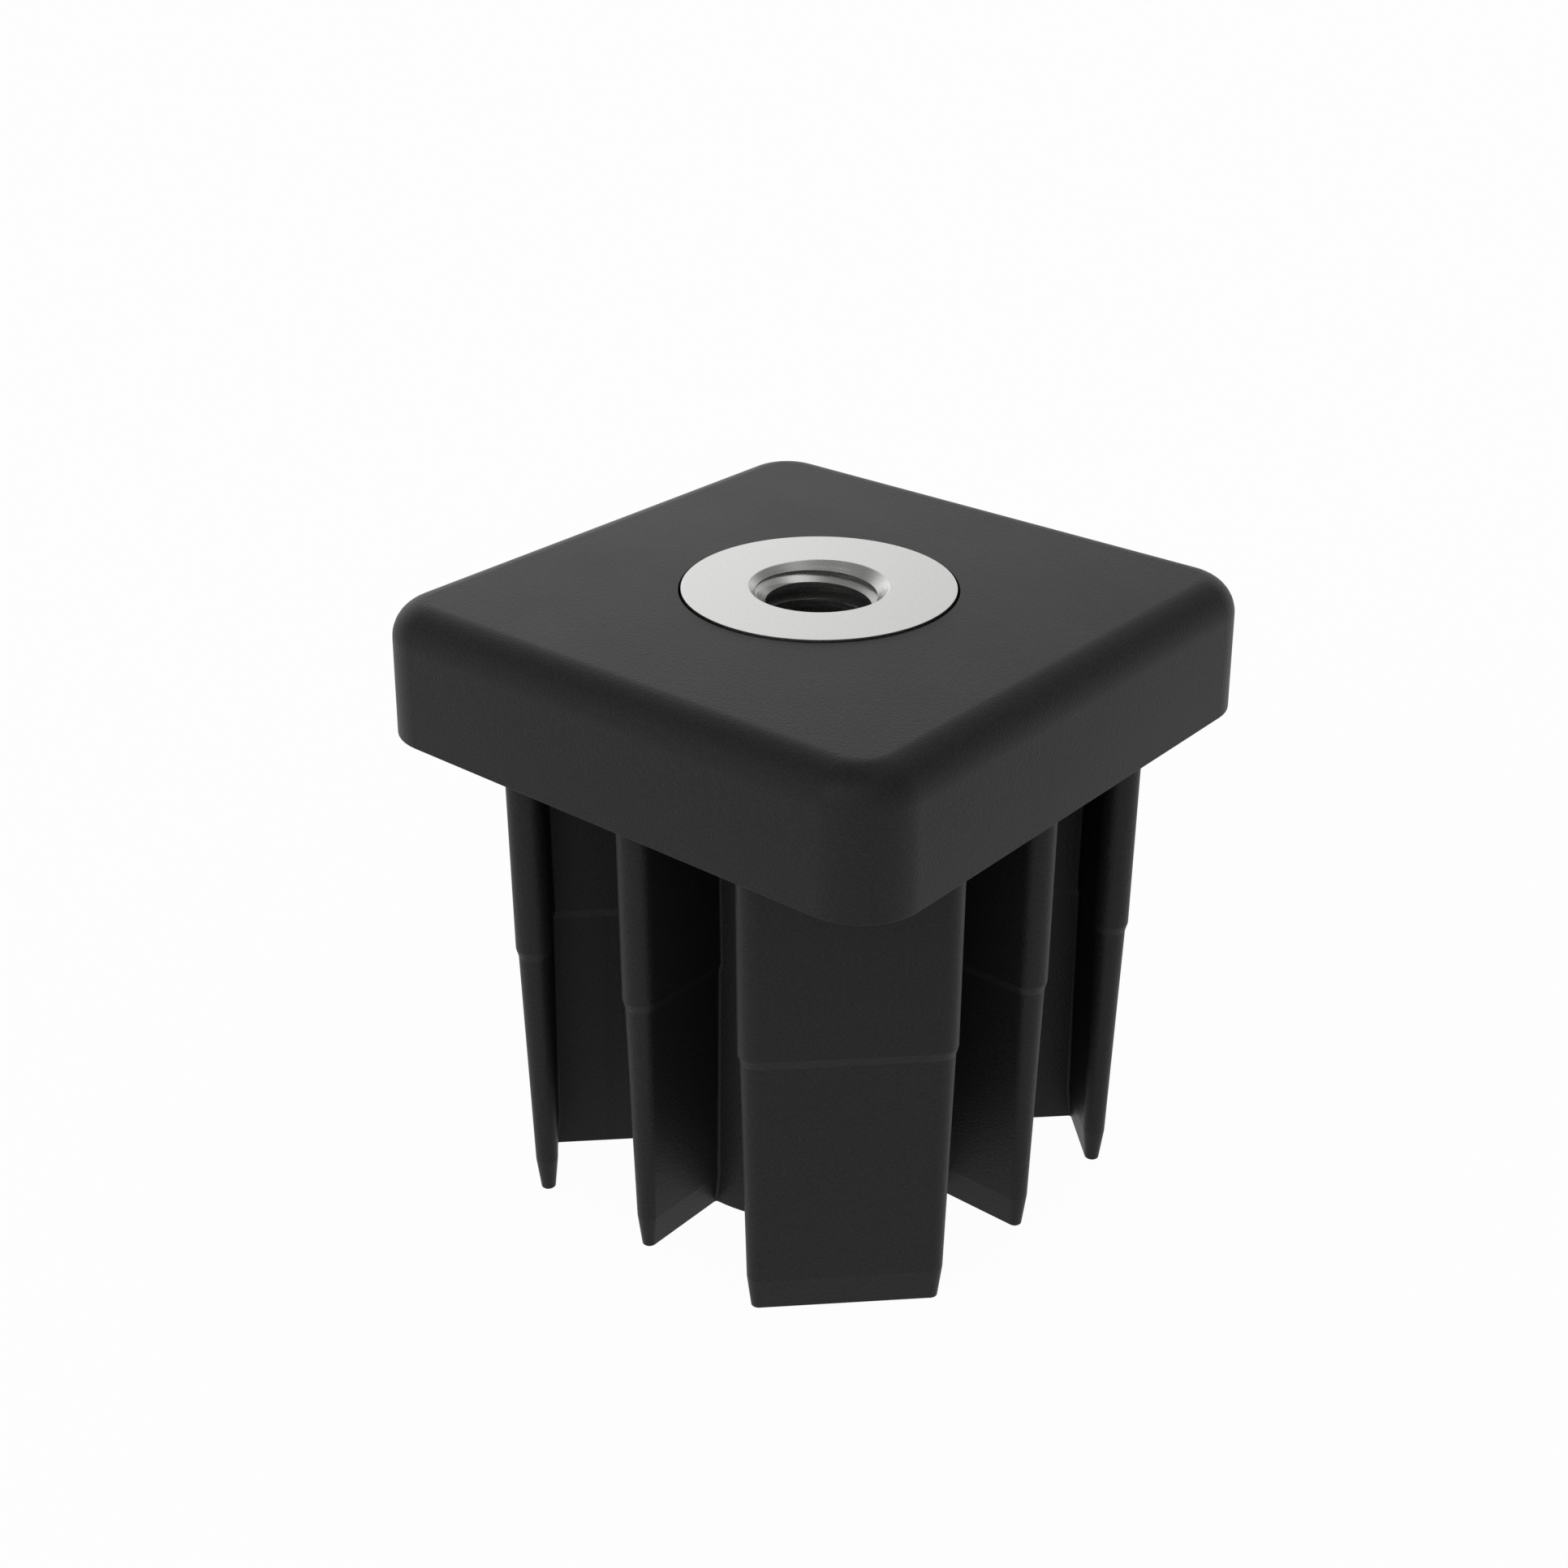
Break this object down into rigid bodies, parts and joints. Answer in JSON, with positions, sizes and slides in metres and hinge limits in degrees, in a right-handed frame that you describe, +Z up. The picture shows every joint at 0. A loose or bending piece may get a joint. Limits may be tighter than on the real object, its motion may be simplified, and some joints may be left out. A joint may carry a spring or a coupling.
{
  "type": "threaded tube insert",
  "caption": "Black moulded plug for the end of a square tube, with a ribbed shank that grips the tube and a steel threaded bushing set into its head.",
  "frame": {"origin": "centre of the shank's end, on the surface that the part stands on", "axes": "+Z up the thread's axis and out of the head; +X and +Y square to the head's sides"},
  "size_m": [0.05, 0.05, 0.0509],
  "materials": {
    "plug_plastic": "fine moulded grain, matt black",
    "bushing_steel": "turned, satin, bright plated"
  },
  "bodies": {
    "root": {"plug": "plug_plastic", "bushing": "bushing_steel"}
  },
  "joints": []
}
